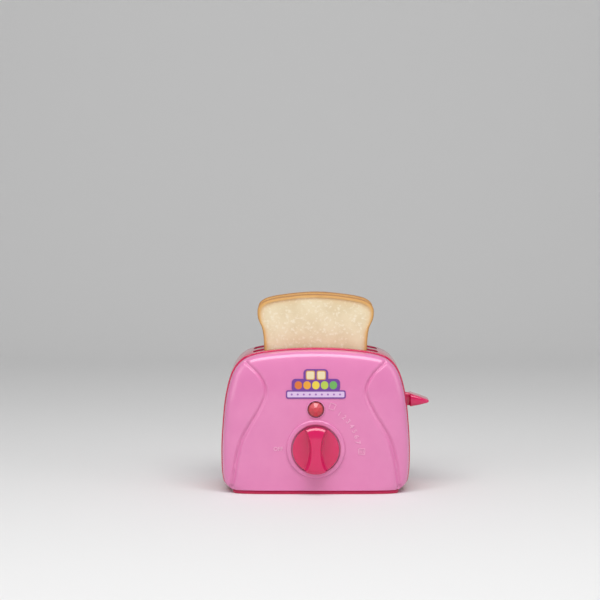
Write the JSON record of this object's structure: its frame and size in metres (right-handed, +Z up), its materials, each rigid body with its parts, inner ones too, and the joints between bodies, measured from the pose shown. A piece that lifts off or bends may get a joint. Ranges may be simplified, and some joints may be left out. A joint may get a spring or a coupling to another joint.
{
  "type": "toy toaster",
  "caption": "Toy toaster with bread slices that pop up, a side lever, a wind-up timer knob and a red lamp lens",
  "frame": {"origin": "centre of the flat underside of the base plate", "axes": "+X to the lever side on the right, +Y from the front face with the knob to the rear, +Z up"},
  "size_m": [0.1402, 0.0804, 0.1317],
  "materials": {
    "pink_plastic": "glossy light pink moulding with a soft highlight",
    "magenta_plastic": "glossy deep magenta moulding",
    "white_plastic": "matt natural white moulding",
    "toast_plastic": "cream speckled crumb with a golden brown crust",
    "red_lens": "clear red, faceted inside",
    "steel": "plated steel",
    "brass_plate": "stamped brass, unpolished",
    "board_green": "green solder mask",
    "label_paper": "coated label with printed plain shapes",
    "cell_jacket": "plain dark printed jacket"
  },
  "bodies": {
    "housing": {"base_plate": "magenta_plastic", "base_screw_1": "steel", "base_screw_2": "steel", "base_screw_3": "steel", "base_screw_4": "steel", "battery_door": "magenta_plastic", "battery_front": "cell_jacket", "battery_rear": "cell_jacket", "battery_spring_front": "steel", "battery_spring_rear": "steel", "board_screw_left": "steel", "board_screw_right": "steel", "centre_frame": "magenta_plastic", "contact_bridge": "steel", "contact_minus": "steel", "contact_plus": "steel", "door_screw": "steel", "escape_arbor": "steel", "front_shell": "pink_plastic", "front_sticker": "label_paper", "guide_rod_left": "steel", "guide_rod_right": "steel", "indicator_lens": "red_lens", "lamp_board": "board_green", "lamp_bulb": "red_lens", "latch_pin": "steel", "latch_spring": "steel", "lift_spring_left": "steel", "lift_spring_right": "steel", "mainspring": "steel", "pallet_arbor": "steel", "rear_shell": "pink_plastic", "second_arbor": "steel", "shell_screw_1": "steel", "shell_screw_2": "steel", "shell_screw_3": "steel", "shell_screw_4": "steel", "timer_back_plate": "brass_plate", "timer_front_plate": "brass_plate", "timer_screw_1": "steel", "timer_screw_2": "steel", "timer_screw_3": "steel", "timer_screw_4": "steel"},
    "knob": {"timer_knob": "magenta_plastic", "timer_shaft": "steel", "main_gear": "white_plastic", "timer_cam": "white_plastic"},
    "second": {"second_wheel": "white_plastic"},
    "escape": {"escape_wheel": "white_plastic"},
    "pallet": {"pallet_lever": "brass_plate"},
    "latch": {"latch": "white_plastic"},
    "carriage": {"carriage": "white_plastic", "lever_knob": "magenta_plastic"},
    "bread_front": {"bread_slice_front": "toast_plastic"},
    "bread_rear": {"bread_slice_rear": "toast_plastic"}
  },
  "joints": [
    {"name": "carriage_slide", "type": "slide", "parent": "housing", "child": "carriage", "axis": [0, 0, 1], "range_m": [-0.028, 0], "stiffness_N_per_m": 80, "springref_m": 0.035, "deforming": ["lift_spring_left", "lift_spring_right"]},
    {"name": "bread_front_lift", "type": "slide", "parent": "carriage", "child": "bread_front", "axis": [0, 0, 1], "range_m": [0, 0.08]},
    {"name": "bread_rear_lift", "type": "slide", "parent": "carriage", "child": "bread_rear", "axis": [0, 0, 1], "range_m": [0, 0.08]},
    {"name": "timer_knob_turn", "type": "hinge", "parent": "housing", "child": "knob", "pos_m": [0, 0, 0.0306], "axis": [0, 1, 0], "range_deg": [0, 95], "stiffness_Nm_per_rad": 0.005, "springref_deg": -17.19},
    {"name": "second_wheel_spin", "type": "hinge", "parent": "housing", "child": "second", "pos_m": [-0.01353, 0, 0.02567], "axis": [0, 1, 0], "range_deg": [-288, 3]},
    {"name": "escape_wheel_spin", "type": "hinge", "parent": "housing", "child": "escape", "pos_m": [-0.01764, 0, 0.03695], "axis": [0, 1, 0], "range_deg": [-9, 864]},
    {"name": "pallet_rock", "type": "hinge", "parent": "housing", "child": "pallet", "pos_m": [-0.01764, 0, 0.04555], "axis": [0, 1, 0], "range_deg": [-4, 4]},
    {"name": "latch_swing", "type": "hinge", "parent": "housing", "child": "latch", "pos_m": [0.013, 0, 0.0446], "axis": [0, 1, 0], "range_deg": [-12.4, 0.1]}
  ],
  "couplings": [
    {"joint": "second_wheel_spin", "follows": "timer_knob_turn", "ratio": -3},
    {"joint": "escape_wheel_spin", "follows": "timer_knob_turn", "ratio": 9},
    {"joint": "latch_swing", "follows": "timer_knob_turn", "ratio": -0.12947}
  ]
}
